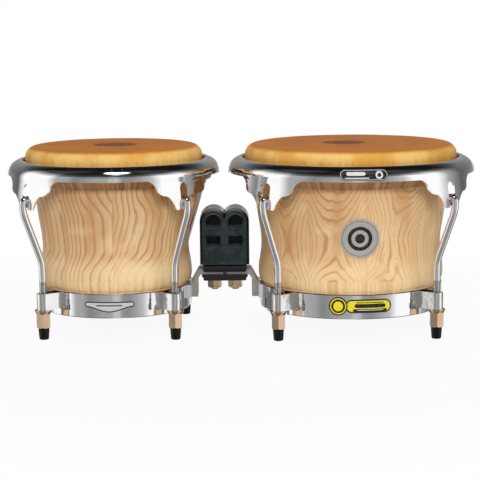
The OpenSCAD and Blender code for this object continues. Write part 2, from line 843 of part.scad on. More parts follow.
// A level arm under the block, a slanted shoulder and a leg welded to the ring's pad.
// side is -1 for the small drum's strap and 1 for the large drum's.
module strap(side) {
  drop = strap_shoulder * tan(strap_shoulder_slope);
  out = strap_span;
  in = strap_span - strap_t;
  color([0.72, 0.72, 0.72])
    translate([centre_x, 0, 0])
      mirror([side < 0 ? 1 : 0, 0, 0])
        difference() {
          translate([0, strap_w / 2, 0])
            rotate([90, 0, 0])
              linear_extrude(height = strap_w)
                polygon([
                  [strap_gap / 2, strap_bar_z], [strap_flat, strap_bar_z],
                  [strap_flat + 2.3, strap_bar_z - 0.9], [in - 0.8, strap_leg_top_z + 1.8],
                  [in, strap_leg_top_z], [in, strap_low_z],
                  [out, strap_low_z], [out, strap_top_z - drop - 1.4], [out - 0.4, strap_top_z - drop],
                  [out - strap_shoulder + 0.4, strap_top_z - 0.9], [out - strap_shoulder - 0.8, strap_top_z],
                  [strap_gap / 2, strap_top_z]
                ]);
          translate([bolt_gap / 2, 0, strap_bar_z - 1])
            cylinder(r = bolt_r + bolt_clear, h = strap_arm_t + 2);
        }
}

module ring_pad(d) {
  r = ring_r[d];
  color([0.8, 0.8, 0.82])
    at_drum(d)
      mirror([d == 0 ? 0 : 1, 0, 0])
        difference() {
          translate([r - 12, -pad_half_w, strap_low_z])
            cube([strap_r[d] - r + 12, 2 * pad_half_w, pad_h]);
          translate([0, 0, strap_low_z - 1])
            cylinder(r = r, h = pad_h + 2, $fn = 360);
        }
}

module clamp_bolt(x) {
  head_low = clamp_low_z - bolt_washer_t - bolt_head_h;
  corner_r = bolt_af / 2 / cos(30);
  bolt_top_z = block_low_z + bolt_thread;
  color([0.8, 0.68, 0.42])
    translate([centre_x + x, 0, 0])
      union() {
        translate([0, 0, head_low])
          intersection() {
            rotate([0, 0, 20])
              cylinder(r = corner_r, h = bolt_head_h, $fn = 6);
            union() {
              cylinder(r1 = bolt_af / 2 + 0.1, r2 = corner_r + 0.1, h = 0.9);
              translate([0, 0, 0.9])
                cylinder(r = corner_r + 0.1, h = bolt_head_h);
            }
          }
        translate([0, 0, head_low - bolt_tail])
          cylinder(r1 = bolt_r - 0.8, r2 = bolt_r, h = 0.8);
        translate([0, 0, head_low - bolt_tail + 0.8])
          cylinder(r = bolt_r, h = bolt_top_z - head_low + bolt_tail - 1.6);
        translate([0, 0, bolt_top_z - 0.8])
          cylinder(r1 = bolt_r, r2 = bolt_r - 0.8, h = 0.8);
      }
}

module bolt_washer(x) {
  color([0.8, 0.68, 0.42])
    translate([centre_x + x, 0, clamp_low_z - bolt_washer_t])
      difference() {
        cylinder(r = bolt_washer_r, h = bolt_washer_t);
        translate([0, 0, -1])
          cylinder(r = bolt_r + bolt_clear, h = bolt_washer_t + 2);
      }
}

// A thin disc that follows the shell's curve.
module shell_badge() {
  z = waist_z + badge_up;
  reach = badge_r + 6;
  pts = [for (p = shell_outside(1)) if (abs(p[1] - z) < reach) p];
  n = len(pts);
  color([0.75, 0.75, 0.76])
    at_drum(1)
      intersection() {
        rotate_extrude()
          polygon(concat(pts, [for (k = [n - 1 : -1 : 0]) [pts[k][0] + badge_t, pts[k][1]]]));
        rotate([0, 0, badge_az])
          translate([0, 0, z])
            rotate([90, 0, 0])
              cylinder(r = badge_r, h = large_ring_r + 50);
      }
}

module macho_shell() { shell(0); }
module hembra_shell() { shell(1); }
module macho_head() { head(0); }
module hembra_head() { head(1); }
module macho_skin_side() { skin_side(0); }
module hembra_skin_side() { skin_side(1); }
module macho_bottom_ring() { bottom_ring(0); }
module hembra_bottom_ring() { bottom_ring(1); }
module macho_brackets() { brackets(0); }
module hembra_brackets() { brackets(1); }
module macho_washers() { washers(0); }
module hembra_washers() { washers(1); }
module macho_rim() { rim(0); }
module hembra_rim() { rim(1); }
module macho_flesh_hoop() { flesh_hoop(0); }
module hembra_flesh_hoop() { flesh_hoop(1); }
module macho_skin_tuck() { skin_tuck(0); }
module hembra_skin_tuck() { skin_tuck(1); }

macho_shell();
macho_head();
macho_skin_side();
macho_bottom_ring();
macho_brackets();
macho_washers();
macho_rim();
macho_flesh_hoop();
macho_skin_tuck();
rod(0, 0);  // macho_rod_1
rod(0, 1);  // macho_rod_2
rod(0, 2);  // macho_rod_3
rod(0, 3);  // macho_rod_4
nut(0, 0);  // macho_nut_1
nut(0, 1);  // macho_nut_2
nut(0, 2);  // macho_nut_3
nut(0, 3);  // macho_nut_4
foot(0, 0);  // macho_foot_1
foot(0, 1);  // macho_foot_2
foot(0, 2);  // macho_foot_3
foot(0, 3);  // macho_foot_4
hembra_shell();
hembra_head();
hembra_skin_side();
hembra_bottom_ring();
hembra_brackets();
hembra_washers();
hembra_rim();
hembra_flesh_hoop();
hembra_skin_tuck();
rod(1, 0);  // hembra_rod_1
rod(1, 1);  // hembra_rod_2
rod(1, 2);  // hembra_rod_3
rod(1, 3);  // hembra_rod_4
nut(1, 0);  // hembra_nut_1
nut(1, 1);  // hembra_nut_2
nut(1, 2);  // hembra_nut_3
nut(1, 3);  // hembra_nut_4
foot(1, 0);  // hembra_foot_1
foot(1, 1);  // hembra_foot_2
foot(1, 2);  // hembra_foot_3
foot(1, 3);  // hembra_foot_4
centre_block();
block_saddle();
clamp_plate();
strap(-1);  // macho_strap
strap(1);  // hembra_strap
ring_pad(0);  // macho_pad
ring_pad(1);  // hembra_pad
clamp_bolt(-bolt_gap / 2);  // clamp_bolt_1
clamp_bolt(bolt_gap / 2);  // clamp_bolt_2
bolt_washer(-bolt_gap / 2);  // bolt_washer_1
bolt_washer(bolt_gap / 2);  // bolt_washer_2
shell_badge();
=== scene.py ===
import json
import math
import random

import bpy
from mathutils import Matrix, Vector


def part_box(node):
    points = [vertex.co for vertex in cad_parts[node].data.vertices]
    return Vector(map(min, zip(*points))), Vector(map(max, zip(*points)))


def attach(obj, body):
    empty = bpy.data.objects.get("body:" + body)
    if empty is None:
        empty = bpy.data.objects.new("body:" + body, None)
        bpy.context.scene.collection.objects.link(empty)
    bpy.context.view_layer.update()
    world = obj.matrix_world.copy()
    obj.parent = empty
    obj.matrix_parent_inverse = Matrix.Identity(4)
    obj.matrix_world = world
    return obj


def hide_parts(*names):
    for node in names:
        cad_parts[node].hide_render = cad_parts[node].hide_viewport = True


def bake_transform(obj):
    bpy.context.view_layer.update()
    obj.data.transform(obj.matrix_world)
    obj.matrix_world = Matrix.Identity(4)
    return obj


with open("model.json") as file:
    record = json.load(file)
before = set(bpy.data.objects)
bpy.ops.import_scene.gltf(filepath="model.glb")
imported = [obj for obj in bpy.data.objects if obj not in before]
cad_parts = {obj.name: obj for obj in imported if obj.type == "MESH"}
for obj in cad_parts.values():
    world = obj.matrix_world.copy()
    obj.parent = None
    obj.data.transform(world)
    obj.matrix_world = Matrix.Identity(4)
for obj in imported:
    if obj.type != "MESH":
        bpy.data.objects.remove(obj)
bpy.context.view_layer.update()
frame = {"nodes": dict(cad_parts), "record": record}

NODES = frame["nodes"]
MM = 0.001
DRUMS = ("macho", "hembra")


def mid(node):
    a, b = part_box(node)
    return (a + b) / 2


def radius_of(node):
    """Outer radius of a round node, in metres."""
    a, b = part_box(node)
    return (b.x - a.x) / 2


AXIS_X = {d: mid(d + "_head").x for d in DRUMS}
HEAD_R = {d: radius_of(d + "_head") for d in DRUMS}
RIM_R = {d: radius_of(d + "_rim") for d in DRUMS}
RING_R = {d: radius_of(d + "_bottom_ring") for d in DRUMS}
SKIN_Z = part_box("macho_head")[1].z
HEAD_LOW_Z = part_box("macho_head")[0].z
TUCK_LO, TUCK_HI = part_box("macho_skin_tuck")
TUCK_R = (TUCK_HI.z - TUCK_LO.z) / 2
TUCK_Z = (TUCK_HI.z + TUCK_LO.z) / 2
RIM_TOP_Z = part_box("macho_rim")[1].z


def lug(drum, i):
    """Distance from the drum's axis and azimuth of one of its lugs, 1 to 4."""
    c = mid(f"{drum}_nut_{i}")
    out = Vector((c.x - AXIS_X[drum], c.y, 0))
    return out.length, math.atan2(out.y, out.x)


# ---------------------------------------------------------------- node helpers

def lin(r, g, b):
    """A colour given as screen values of 0 to 255, in the linear values that shaders use."""
    f = lambda c: c / 12.92 if c <= 0.04045 else ((c + 0.055) / 1.055) ** 2.4
    return (f(r / 255), f(g / 255), f(b / 255), 1.0)


def darker(colour, share):
    """A colour times a share, still opaque."""
    return tuple(c * share for c in colour[:3]) + (1,)


def grey(v):
    return (v, v, v)


class Nodes:
    """Short calls that add shader nodes. Their arguments may be links or plain values. Lengths are in mm."""

    def __init__(self, owner):
        owner.use_nodes = True
        self.t = owner.node_tree
        self.t.nodes.clear()
        self._obj = None

    def put(self, socket, value):
        if isinstance(value, bpy.types.NodeSocket):
            self.t.links.new(value, socket)
        else:
            socket.default_value = value

    def node(self, kind, ins=None, **attrs):
        n = self.t.nodes.new("ShaderNode" + kind)
        for k, v in attrs.items():
            setattr(n, k, v)
        for k, v in (ins or {}).items():
            self.put(n.inputs[k], v)
        return n

    def math(self, op, a, b=0.0, c=0.0):
        return self.node("Math", {0: a, 1: b, 2: c}, operation=op).outputs[0]

    def add(self, a, b):
        return self.math("ADD", a, b)

    def sub(self, a, b):
        return self.math("SUBTRACT", a, b)

    def mul(self, a, b):
        return self.math("MULTIPLY", a, b)

    def div(self, a, b):
        return self.math("DIVIDE", a, b)

    def length(self, a, b):
        return self.math("SQRT", self.add(self.mul(a, a), self.mul(b, b)))

    def obj(self):
        """The point's place. A CAD node's object sits at the origin, so it is the place in the frame."""
        if self._obj is None:
            place = self.node("TexCoord").outputs["Object"]
            mm = self.node("VectorMath", {0: place, 1: (1000, 1000, 1000)}, operation="MULTIPLY")
            self._obj = mm.outputs[0]
        return self._obj

    def xyz(self, vec=None):
        s = self.node("SeparateXYZ", {0: vec or self.obj()})
        return s.outputs[0], s.outputs[1], s.outputs[2]

    def vec(self, x, y, z):
        return self.node("CombineXYZ", {0: x, 1: y, 2: z}).outputs[0]

    def noise(self, vec, scale=1.0, detail=2.0, rough=0.5):
        n = self.node("TexNoise", {"Vector": vec, "Scale": scale, "Detail": detail, "Roughness": rough})
        return n.outputs["Fac"]

    def patches(self, x, y, width, height, seed, detail=2.0, rough=0.5):
        """Noise whose patches are about width by height. Another seed gives other patches."""
        return self.noise(self.vec(self.div(x, width), self.div(y, height), seed), 1.0, detail, rough)

    def ramp(self, fac, stops, interpolation="LINEAR"):
        n = self.node("ValToRGB", {0: fac})
        r = n.color_ramp
        r.interpolation = interpolation
        while len(r.elements) < len(stops):
            r.elements.new(0.5)
        for e, (pos, col) in zip(r.elements, stops):
            e.position = pos
            e.color = col if len(col) == 4 else (*col, 1)
        return n.outputs[0]

    def range(self, v, a, b, c=0.0, d=1.0, smooth=True):
        """Takes v from a...b to c...d, clamped."""
        n = self.node("MapRange", {0: v, 1: a, 2: b, 3: c, 4: d},
                      interpolation_type="SMOOTHSTEP" if smooth else "LINEAR", clamp=True)
        return n.outputs[0]

    def mix(self, fac, a, b, blend="MIX"):
        n = self.node("Mix", data_type="RGBA", blend_type=blend)
        self.put(n.inputs[0], fac)
        self.put(n.inputs[6], a)
        self.put(n.inputs[7], b)
        return n.outputs[2]

    def bump(self, height, strength, dist):
        return self.node("Bump", {"Height": height, "Strength": strength, "Distance": dist}).outputs[0]

    def around(self, drum):
        """Angle from the front, radius and height about a drum's axis."""
        x, y, z = self.xyz()
        dx = self.sub(x, AXIS_X[drum] * 1000)
        ang = self.math("ARCTAN2", dx, self.mul(y, -1.0))
        return ang, self.length(dx, y), z


class Mat(Nodes):
    """A material with one principled shader."""

    def __init__(self, name):
        self.m = bpy.data.materials.new(name)
        super().__init__(self.m)
        self.bsdf = self.t.nodes.new("ShaderNodeBsdfPrincipled")
        out = self.t.nodes.new("ShaderNodeOutputMaterial")
        self.t.links.new(self.bsdf.outputs[0], out.inputs[0])

    def set(self, **values):
        """Sets sockets of the shader, named with underscores in place of blanks."""
        for k, v in values.items():
            self.put(self.bsdf.inputs[k.replace("_", " ")], v)


# ---------------------------------------------------------------- wood

PORE = lin(160, 106, 62)
PLAIN_WOOD = lin(234, 199, 146)
# Across a growth ring: a thin dark line, then tan fading to cream, with a fainter line half way.
RING_TONES = [(0.0, lin(180, 124, 80)), (0.06, lin(194, 140, 94)), (0.20, lin(224, 182, 132)),
              (0.36, lin(243, 210, 162)), (0.48, lin(222, 180, 130)), (0.56, lin(236, 202, 154)),
              (0.74, lin(240, 208, 162)), (0.86, lin(226, 186, 138)), (1.0, lin(180, 124, 80))]
THIN_LINES = [(0.0, grey(1)), (0.16, grey(0.1)), (0.80, grey(0)), (1.0, grey(1))]
# Where in a growth ring the pores lie: at its dark line.
EARLY_WOOD = [(0.0, grey(1)), (0.28, grey(0.25)), (0.75, grey(0.2)), (1.0, grey(1))]

# Each shell's staves, counted from the one at the left of its front seam (index 0) round to the
# right: place of the grain's centre across the stave, lean of the grain, strength of its swirls.
# radius turns an angle into a distance along the shell, and seam is the front seam's place on it.
STAVES = {
    "macho": dict(radius=78.0, seam=3.0,
                  rows=[(0.5, 0.0, 0.10), (0.3, 0.75, 0.5), (1.2, 0.5, 1.0), (0.6, -0.3, 0.8),
                        (0.2, 0.3, 0.6), (0.7, 0.2, 0.7), (0.4, -0.5, 0.9), (0.5, 0.3, 0.5),
                        (0.3, 0.0, 0.7)]),
    "hembra": dict(radius=94.0, seam=10.0,
                   rows=[(0.45, 0.0, 0.9), (0.5, 0.9, 1.9), (0.9, -0.2, 1.0), (0.4, 0.3, 0.9),
                         (0.6, -0.4, 1.0), (0.3, 0.2, 0.8), (0.7, 0.0, 1.0), (0.5, 0.5, 0.9),
                         (0.35, -0.2, 0.8), (0.55, 0.1, 0.8)]),
}
# How strong each shell's fine waves and thin lines are, how much of its grain is bare, how pale it is
# at the foot and at the top, and its waist's radius.
TONE = {
    "macho": dict(waves=0.35, thin=0.42, bare=0.30, pale=(1.18, 0.95), waist=74.4),
    "hembra": dict(waves=0.9, thin=0.24, bare=0.50, pale=(1.24, 1.04), waist=91.0),
}
# Heights in mm. The grain bends between the foot's roll and the cove under the rim.
FOOT_Z, FOOT_LOW_Z = 60.0, 58.5
COVE_LOW_Z, COVE_Z, COVE_TOP_Z = 148.0, 148.5, 150.5
BELLY_Z = 66.0
ARCH_Z = 96.0          # middle of the large drum's arches
ARCH_UP, ARCH_DOWN = 50.0, 36.0
ARCH_TIP = 16.0        # how blunt the arches' tips are
MACHO_LINE_GAP = 9.6   # distance between the small drum's lines


def stave_of(m, drum, u):
    """The stave at u: its number, its width, the place across it, and its row of three numbers."""
    spec = STAVES[drum]
    count = len(spec["rows"])
    width = 2 * math.pi * spec["radius"] / count
    step = m.div(m.sub(u, spec["seam"]), width)
    stave = m.math("FLOOR", step)
    across = m.mul(m.sub(step, stave), width)
    # a constant ramp hands each stave its row, packed from -2...2 into 0...1
    index = m.math("MODULO", m.add(stave, count + 1.0), float(count))
    stops = [(k / count, tuple((v + 2.0) / 4.0 for v in row)) for k, row in enumerate(spec["rows"])]
    look = m.ramp(m.div(m.add(index, 0.5), float(count)), stops, "CONSTANT")
    parts = m.node("SeparateXYZ", {0: look})
    return stave, width, across, [m.math("MULTIPLY_ADD", parts.outputs[k], 4.0, -2.0) for k in range(3)]


def growth(m, drum, u, z, jump, width, across, row):
    """How many growth rings lie between the grain's centre and this point, and how bold their lines are."""
    centre, lean, swirl = row
    # the grain stands upright in the cove at the top and on the roll at the foot
    z = m.math("MINIMUM", m.math("MAXIMUM", z, FOOT_Z), COVE_LOW_Z)
    slow = m.patches(u, z, 30.0, 75.0, jump, 1.0, 0.4)
    fine = m.patches(u, z, 9.0, 210.0, jump)
    curl = m.patches(u, z, 20.0, 22.0, jump, 1.0, 0.4)
    off = m.sub(across, m.mul(centre, width))
    off = m.sub(off, m.mul(lean, m.math("MULTIPLY_ADD", z, 0.30, -27.0)))
    if drum == "macho":
        # near-straight lines, closer left of the centre, that lean over in the shoulder and at the foot
        f = m.mul(off, 1 / MACHO_LINE_GAP)
        f = m.add(f, m.mul(m.math("MINIMUM", m.add(off, 4.0), 0.0), 0.10))
        f = m.add(f, m.range(z, 120.0, 149.0, 0.0, 1.6))
        f = m.add(f, m.range(z, 90.0, 64.0, 0.0, 1.5))
        bold = m.range(m.math("ABSOLUTE", off), 10.0, 60.0, 1.0, 0.8)
    else:
        # arches that open upwards above the middle and downwards below it
        root = m.math("SQRT", m.math("MULTIPLY_ADD", off, off, ARCH_TIP * ARCH_TIP))
        f = m.mul(m.sub(root, ARCH_TIP), 0.24)
        up = m.math("MAXIMUM", m.math("MULTIPLY_ADD", z, 1 / ARCH_UP, -ARCH_Z / ARCH_UP), 0.0)
        down = m.math("MAXIMUM", m.math("MULTIPLY_ADD", z, -1 / ARCH_DOWN, ARCH_Z / ARCH_DOWN), 0.0)
        f = m.sub(f, m.mul(m.mul(up, up), 3.6))
        f = m.sub(f, m.mul(m.mul(down, down), 2.2))
        bold = m.range(m.math("ABSOLUTE", off), 4.0, 26.0, 0.95, 0.55)
    f = m.add(f, m.mul(m.sub(slow, 0.5), m.mul(swirl, 3.0)))
    f = m.add(f, m.mul(m.sub(curl, 0.5), m.mul(swirl, 0.9)))
    return m.add(f, m.mul(fine, TONE[drum]["waves"])), bold


def grain_colour(m, drum, u, z, jump, rings, ring, bold):
    """Cream and tan growth rings, with patches where they fade."""
    tone = TONE[drum]
    col = m.ramp(ring, RING_TONES)
    thin_line = m.ramp(m.math("FRACT", m.mul(rings, 3.0)), THIN_LINES)
    # lines fade in and out along their length
    fade = m.patches(u, z, 24.0, 46.0, m.add(jump, 3.0))
    col = m.mix(m.mul(m.range(fade, 0.40, 0.64, tone["thin"], 0.0), thin_line), col, lin(196, 148, 100))
    col = m.mix(m.mul(m.range(fade, 0.46, 0.68, 0.0, tone["bare"]), bold), col, PLAIN_WOOD)
    col = m.mix(m.sub(1.0, bold), col, PLAIN_WOOD)
    # broad patches are browner or paler
    patch = m.patches(u, z, 22.0, 90.0, jump)
    col = m.mix(m.range(patch, 0.40, 0.66, 0.0, 0.62), col, lin(208, 156, 100))
    # the grain is browner left of the front seam
    side = m.mul(m.range(u, 6.0, -6.0), m.range(u, -80.0, -55.0))
    col = m.mix(m.mul(side, m.range(z, 64.0, 84.0, 0.06, 0.26)), col, lin(186, 132, 80))
    light = m.patches(u, z, 34.0, 30.0, m.add(jump, 9.0))
    return m.mix(m.range(light, 0.52, 0.72, 0.0, 0.42), col, lin(246, 218, 172))


def end_zones(m, u, z, jump, col):
    """The cove under the rim, darker with painted shade of the rim and striped with grain, and the roll at
    the foot, paler.
    """
    cove = m.range(z, COVE_Z, COVE_TOP_Z)
    stripes = m.patches(u, z, 2.6, 90.0, jump, 2.0, 0.6)
    bands = m.noise(m.vec(m.div(u, 8.0), 0.0, jump), 1.0, 2.0, 0.6)
    # painted shade of the rim over the whole cove, then darker grain stripes and bands
    col = m.mix(m.mul(cove, 0.45), col, lin(182, 112, 52))
    col = m.mix(m.mul(cove, m.range(stripes, 0.42, 0.62, 0.0, 0.45)), col, lin(160, 96, 44))
    col = m.mix(m.mul(cove, m.range(bands, 0.42, 0.60, 0.0, 0.60)), col, lin(140, 80, 34))
    foot = m.range(z, FOOT_Z, FOOT_LOW_Z)
    col = m.mix(m.mul(foot, 0.45), col, lin(242, 212, 160))
    return m.mix(m.mul(foot, m.range(stripes, 0.46, 0.62, 0.0, 0.24)), col, lin(190, 140, 90))


def wood(name, drum):
    """Turned ash staves: each cuts its own growth rings, and the lathe work bends them."""
    m = Mat(name)
    tone = TONE[drum]
    ang, r, z = m.around(drum)
    u = m.mul(ang, STAVES[drum]["radius"])
    stave, width, across, row = stave_of(m, drum, u)
    jump = m.mul(stave, 7.37)
    rings, bold = growth(m, drum, u, z, jump, width, across, row)
    ring = m.math("FRACT", rings)
    col = grain_colour(m, drum, u, z, jump, rings, ring, bold)
    # the outward curve at the foot is paler, most on the right of the small drum
    low = m.range(m.math("ABSOLUTE", m.sub(z, BELLY_Z)), 17.0, 3.0)
    spread = m.range(u, -10.0, 18.0, 0.25, 0.75) if drum == "macho" else 0.22
    col = m.mix(m.mul(low, spread), col, lin(246, 220, 172))
    # staves differ a little in tone
    tint = m.node("TexWhiteNoise", {"W": stave}, noise_dimensions="1D").outputs["Value"]
    col = m.mix(m.range(tint, 0.0, 1.0, 0.0, 0.20, False), col, lin(222, 176, 118))
    col = end_zones(m, u, z, jump, col)
    # the wood gets paler towards the foot
    gain = m.range(z, FOOT_Z, 150.0, *tone["pale"])
    col = m.node("VectorMath", {0: col, "Scale": gain}, operation="SCALE").outputs[0]
    # open pores: short dark dashes along the grain
    pores = m.noise(m.vec(m.mul(u, 1.7), m.mul(z, 0.09), jump), 1.0, 3.0, 0.65)
    dash = m.mul(m.range(pores, 0.55, 0.72), m.ramp(ring, EARLY_WOOD))
    col = m.mix(m.mul(dash, 0.18), col, PORE)
    # thin joints between the staves
    seam = m.math("MINIMUM", across, m.sub(width, across))
    col = m.mix(m.range(seam, 0.0, 0.35, 0.22, 0.0), col, PORE)
    # the bore is bare and a little greyer
    inner = m.range(r, tone["waist"] - 7.0, tone["waist"] - 9.0)
    col = m.mix(m.mul(inner, 0.35), col, lin(190, 160, 120))
    height = m.add(m.mul(pores, -0.4), m.mul(ring, 0.2))
    m.set(Base_Color=col, Roughness=m.range(pores, 0.3, 0.7, 0.38, 0.5), Specular_IOR_Level=0.35,
          Coat_Weight=0.18, Coat_Roughness=0.28, Normal=m.bump(height, 0.22, 0.0003))
    return m.m


# ---------------------------------------------------------------- hide, metal, plastic, paint

PRINT_R = 21.6                                # the heads' printed discs
PRINT_SHIFT = {"macho": 1.0, "hembra": -7.0}  # their centres, right of the drums' axes
# The unprinted rings in a disc, from its centre to its edge.
PRINT_RINGS = [(0.0, grey(0)), (0.20, grey(0)), (0.22, grey(1)), (0.27, grey(1)), (0.29, grey(0)),
               (0.52, grey(0)), (0.55, grey(0.6)), (0.66, grey(0.6)), (0.69, grey(0)), (0.86, grey(0)),
               (0.88, grey(0.8)), (0.91, grey(0.8)), (0.93, grey(0))]


def skin(name, drum):
    """Natural hide: an orange playing face, paler on its bend and side, partly with a painted highlight;
    painted shade low on its side and in its pleats; a plain printed disc.
    """
    m = Mat(name)
    ang, r, z = m.around(drum)
    x, y, _ = m.xyz()
    soft = m.noise(m.obj(), 0.022, 3.0, 0.55)
    blotch = m.patches(x, y, 46.0, 46.0, 2.0, 3.0, 0.6)
    fibre = m.noise(m.vec(m.mul(x, 0.5), m.mul(y, 0.5), m.mul(z, 0.5)), 1.0, 4.0, 0.7)
    face = m.mix(m.range(blotch, 0.35, 0.65), lin(184, 106, 24), lin(204, 124, 40))
    edge = HEAD_R[drum] * 1000
    face = m.mix(m.range(r, edge - 34.0, edge - 9.0, 0.0, 0.45), face, lin(206, 128, 52))
    # the bend and side are paler: partly the hide's own tone, partly a painted highlight of the light
    # falling on them
    side = m.mix(m.range(soft, 0.4, 0.6), lin(234, 174, 84), lin(250, 205, 124))
    # painted shade: the side darkens where it goes down behind the rim
    side = m.mix(m.range(z, 176.0, 169.0), side, lin(206, 138, 68))
    col = m.mix(m.range(z, 183.6, 187.4), side, face)
    # painted shade of short upright pleats pulled by the hoop
    pleat = m.noise(m.vec(m.mul(ang, 26.0), m.mul(z, 0.012), 0.0), 1.0, 2.0, 0.5)
    pleat_shade = m.mul(m.range(z, 184.0, 174.0), m.range(pleat, 0.45, 0.7, 0.0, 0.30))
    col = m.mix(pleat_shade, col, lin(190, 118, 50))
    col = m.mix(m.range(fibre, 0.52, 0.72, 0.0, 0.20), col, lin(150, 84, 34))
    # the printed disc, on the top only
    d = m.length(m.sub(x, AXIS_X[drum] * 1000 + PRINT_SHIFT[drum]), y)
    rings = m.ramp(m.div(d, PRINT_R), PRINT_RINGS)
    ink = m.mul(m.range(d, PRINT_R + 0.3, PRINT_R - 0.3), m.range(z, 186.0, 187.0))
    ink = m.mul(ink, m.sub(1.0, m.mul(rings, 0.75)))
    col = m.mix(m.mul(ink, 0.86), col, lin(72, 40, 22))
    height = m.add(m.mul(fibre, 0.5), m.mul(blotch, 0.8))
    m.set(Base_Color=col, Roughness=m.range(blotch, 0.3, 0.7, 0.42, 0.52), Specular_IOR_Level=0.07,
          Subsurface_Weight=0.08, Subsurface_Radius=(0.004, 0.002, 0.001), Subsurface_Scale=0.6,
          Normal=m.bump(height, 0.18, 0.0006))
    return m.m


def metal(name, colour, rough, wave, grime, wave_scale=0.03):
    """Plated metal: slightly uneven (wave), with dull spots (grime adds to its roughness)."""
    m = Mat(name)
    big = m.noise(m.obj(), wave_scale, 2.0, 0.5)
    small = m.noise(m.obj(), 0.12, 3.0, 0.6)
    col = m.mix(m.range(small, 0.35, 0.75, 0.0, 0.3), colour, darker(colour, 0.9))
    m.set(Base_Color=col, Metallic=1.0, Roughness=m.range(small, 0.35, 0.75, rough, rough + grime),
          Normal=m.bump(big, wave, 0.01))
    return m.m


def thread_metal(name, colour):
    """Chrome, duller on the threaded stretch."""
    m = Mat(name)
    z = m.xyz()[2]
    small = m.noise(m.obj(), 0.4, 3.0, 0.6)
    low = m.range(z, 59.0, 57.0)
    col = m.mix(m.mul(low, 0.35), colour, lin(120, 120, 122))
    rough = m.add(m.range(small, 0.35, 0.75, 0.07, 0.13), m.mul(low, 0.12))
    m.set(Base_Color=col, Metallic=1.0, Roughness=rough)
    return m.m


def plastic(name, dark, light, rough, grain, shine, coat=0.0):
    """Plastic or rubber, mottled between two tones, with a fine grain and, where given, a coat."""
    m = Mat(name)
    fine = m.noise(m.obj(), 1.6, 2.0, 0.6)
    soft = m.noise(m.obj(), 0.05, 3.0, 0.6)
    col = m.mix(m.range(soft, 0.35, 0.7), (*dark, 1), (*light, 1))
    m.set(Base_Color=col, Roughness=m.range(soft, 0.3, 0.7, rough, rough + 0.12), Specular_IOR_Level=shine,
          Coat_Weight=coat, Coat_Roughness=0.08, Normal=m.bump(fine, grain, 0.0002))
    return m.m


def moulded(name):
    """The centre block: matt slate faces, shiny black bevels and sides, and painted light on the faces that
    look up.
    """
    m = Mat(name)
    _, ny, nz = m.xyz(m.node("NewGeometry").outputs["Normal"])
    soft = m.noise(m.obj(), 0.09, 3.0, 0.6)
    speck = m.noise(m.obj(), 0.9, 3.0, 0.7)
    face = m.mix(m.range(soft, 0.35, 0.68), lin(12, 24, 28), lin(38, 56, 60))
    face = m.mix(m.range(speck, 0.50, 0.72, 0.0, 0.35), face, lin(78, 98, 100))
    flat = m.range(m.math("ABSOLUTE", ny), 0.90, 0.98)
    col = m.mix(flat, lin(7, 9, 11), face)
    # painted light from above: faces that look up are lighter, speckled
    painted_top_light = m.mul(m.range(nz, 0.35, 0.85), m.range(speck, 0.30, 0.60, 0.45, 0.80))
    col = m.mix(painted_top_light, col, lin(150, 158, 156))
    rough = m.add(m.mul(flat, 0.22), m.range(soft, 0.3, 0.7, 0.14, 0.24))
    m.set(Base_Color=col, Roughness=rough, Normal=m.bump(speck, 0.22, 0.0003))
    return m.m


def brushed(name, colour):
    """Brushed metal with fine upright lines."""
    m = Mat(name)
    x, _, z = m.xyz()
    lines = m.noise(m.vec(m.mul(x, 3.2), 0.0, m.mul(z, 0.08)), 1.0, 3.0, 0.7)
    col = m.mix(m.range(lines, 0.3, 0.7), darker(colour, 0.80), colour)
    m.set(Base_Color=col, Metallic=0.6, Roughness=m.range(lines, 0.3, 0.7, 0.3, 0.45),
          Normal=m.bump(lines, 0.12, 0.0003))
    return m.m


def cast(name, colour):
    """Bare cast metal with a sandy skin."""
    m = Mat(name)
    sand = m.noise(m.obj(), 0.9, 4.0, 0.7)
    wear = m.noise(m.obj(), 0.08, 3.0, 0.6)
    col = m.mix(m.range(wear, 0.35, 0.7), darker(colour, 0.78), colour)
    m.set(Base_Color=col, Metallic=0.5, Roughness=m.range(wear, 0.3, 0.7, 0.34, 0.5),
          Normal=m.bump(sand, 0.35, 0.0005))
    return m.m


def paint(name, colour, rough):
    """Opaque paint or ink with faint grey wear."""
    m = Mat(name)
    n = m.noise(m.obj(), 0.5, 2.0, 0.5)
    col = m.mix(m.range(n, 0.4, 0.7, 0.0, 0.12), colour, (0.3, 0.3, 0.3, 1))
    m.set(Base_Color=col, Roughness=rough, Normal=m.bump(n, 0.06, 0.0003))
    return m.m


CHROME = lin(240, 240, 242)
MATS = {
    "macho_wood": wood("macho_wood", "macho"),
    "hembra_wood": wood("hembra_wood", "hembra"),
    "macho_skin": skin("macho_skin", "macho"),
    "hembra_skin": skin("hembra_skin", "hembra"),
    "rim_chrome": metal("rim_chrome", CHROME, rough=0.05, wave=0.012, grime=0.05),
    "ring_chrome": metal("ring_chrome", CHROME, rough=0.06, wave=0.02, grime=0.06),
    "bracket_chrome": metal("bracket_chrome", lin(232, 231, 230), 0.09, 0.06, 0.09, wave_scale=0.08),
    "rod_chrome": thread_metal("rod_chrome", CHROME),
    "nut_chrome": metal("nut_chrome", lin(206, 178, 148), 0.05, 0.03, 0.05, wave_scale=0.05),
    "hoop_steel": metal("hoop_steel", lin(150, 150, 150), 0.3, 0.05, 0.2),
    "rubber_foot": plastic("rubber_foot", grey(0.004), grey(0.009), rough=0.24, grain=0.15, shine=0.22),
    "block_plastic": moulded("block_plastic"),
    "black_plate": plastic("black_plate", (0.003, 0.003, 0.004), (0.008, 0.008, 0.009),
                           rough=0.14, grain=0.08, shine=0.3, coat=0.35),
    "strap_metal": cast("strap_metal", lin(196, 193, 184)),
    "zinc_bolt": metal("zinc_bolt", lin(236, 214, 176), 0.14, 0.05, 0.14, wave_scale=0.25),
    "badge_metal": brushed("badge_metal", lin(230, 225, 216)),
}
MATS["macho_skin_side"] = MATS["macho_skin"]
MATS["hembra_skin_side"] = MATS["hembra_skin"]

